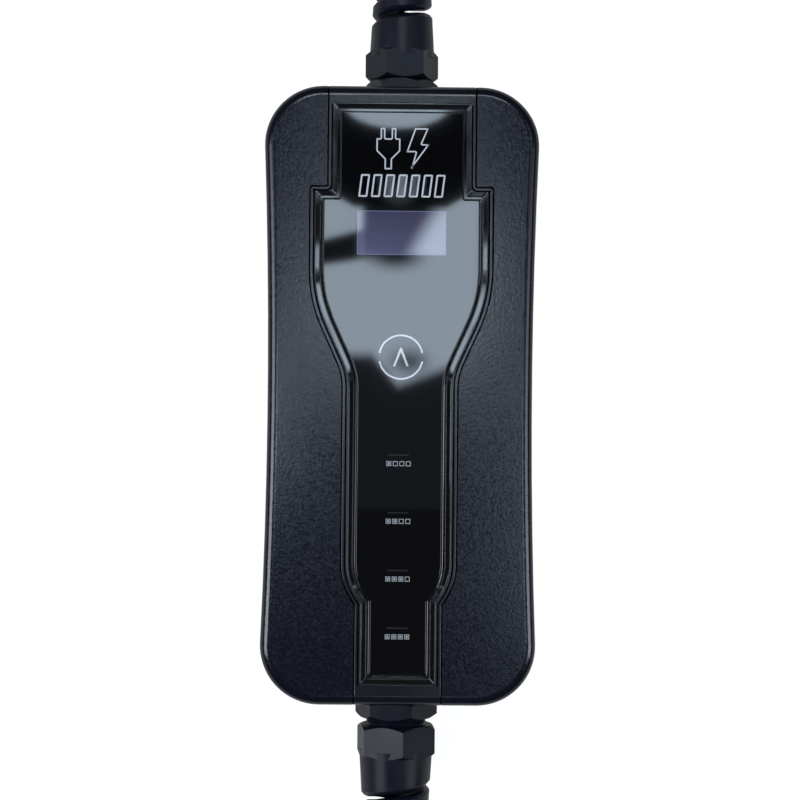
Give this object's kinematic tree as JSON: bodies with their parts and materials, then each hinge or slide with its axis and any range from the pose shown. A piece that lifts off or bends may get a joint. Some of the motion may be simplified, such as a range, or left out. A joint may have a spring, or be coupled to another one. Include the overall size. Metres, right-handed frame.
{
  "type": "portable ev charger control box",
  "caption": "Slim black control box of a portable vehicle charger, with a gloss touch lens, status lights, a display, and spiral bend-relief cable glands at both ends.",
  "frame": {"origin": "centre of the flat rear face", "axes": "+Z out of the front face with the lens, +Y towards the supply gland, +X to the right as the lens is read"},
  "size_m": [0.1, 0.3831, 0.058],
  "materials": {
    "housing_plastic": "fine moulded grain",
    "fascia_plastic": "fine moulded grain",
    "bezel_gloss": "polished",
    "lens_black": "back-printed clear plate, polished",
    "tape_black": "foam tape",
    "seal_rubber": "smooth",
    "gland_polyamide": "satin moulded",
    "screw_steel": "zinc plated",
    "board_laminate": "solder resist over glass laminate",
    "display_glass": "polarised display glass",
    "guide_clear": "clear acrylic",
    "led_body": "moulded epoxy",
    "contact_foam": "conductive foam",
    "relay_case": "moulded",
    "capacitor_case": "moulded",
    "module_case": "potted case",
    "ferrite": "lacquered core",
    "fuse_ceramic": "glazed tube with metal caps",
    "varistor_blue": "dipped disc",
    "terminal_green": "moulded",
    "chip_black": "moulded package",
    "ribbon_grey": "flat cable"
  },
  "bodies": {
    "root": {"front_cover": "housing_plastic", "rear_cover": "housing_plastic", "centre_fascia": "fascia_plastic", "lens_bezel": "bezel_gloss", "display_lens": "lens_black", "lens_tape": "tape_black", "housing_seal": "seal_rubber", "cover_screws": "screw_steel", "main_board": "board_laminate", "board_screws": "screw_steel", "display_board": "board_laminate", "display_board_screws": "screw_steel", "lcd_panel": "display_glass", "indicator_leds": "led_body", "light_guides": "guide_clear", "touch_contact": "contact_foam", "relay_line": "relay_case", "relay_neutral": "relay_case", "filter_capacitor": "capacitor_case", "power_module": "module_case", "leakage_sensor": "ferrite", "fuse": "fuse_ceramic", "varistor": "varistor_blue", "supply_terminals": "terminal_green", "vehicle_terminals": "terminal_green", "controller_chip": "chip_black", "buzzer": "chip_black", "main_header": "module_case", "display_header": "module_case", "link_ribbon": "ribbon_grey", "supply_gland_washer": "seal_rubber", "supply_gland_body": "gland_polyamide", "supply_gland_locknut": "gland_polyamide", "supply_gland_seal": "seal_rubber", "supply_gland_nut": "gland_polyamide", "vehicle_gland_washer": "seal_rubber", "vehicle_gland_body": "gland_polyamide", "vehicle_gland_locknut": "gland_polyamide", "vehicle_gland_seal": "seal_rubber", "vehicle_gland_nut": "gland_polyamide"}
  },
  "joints": []
}
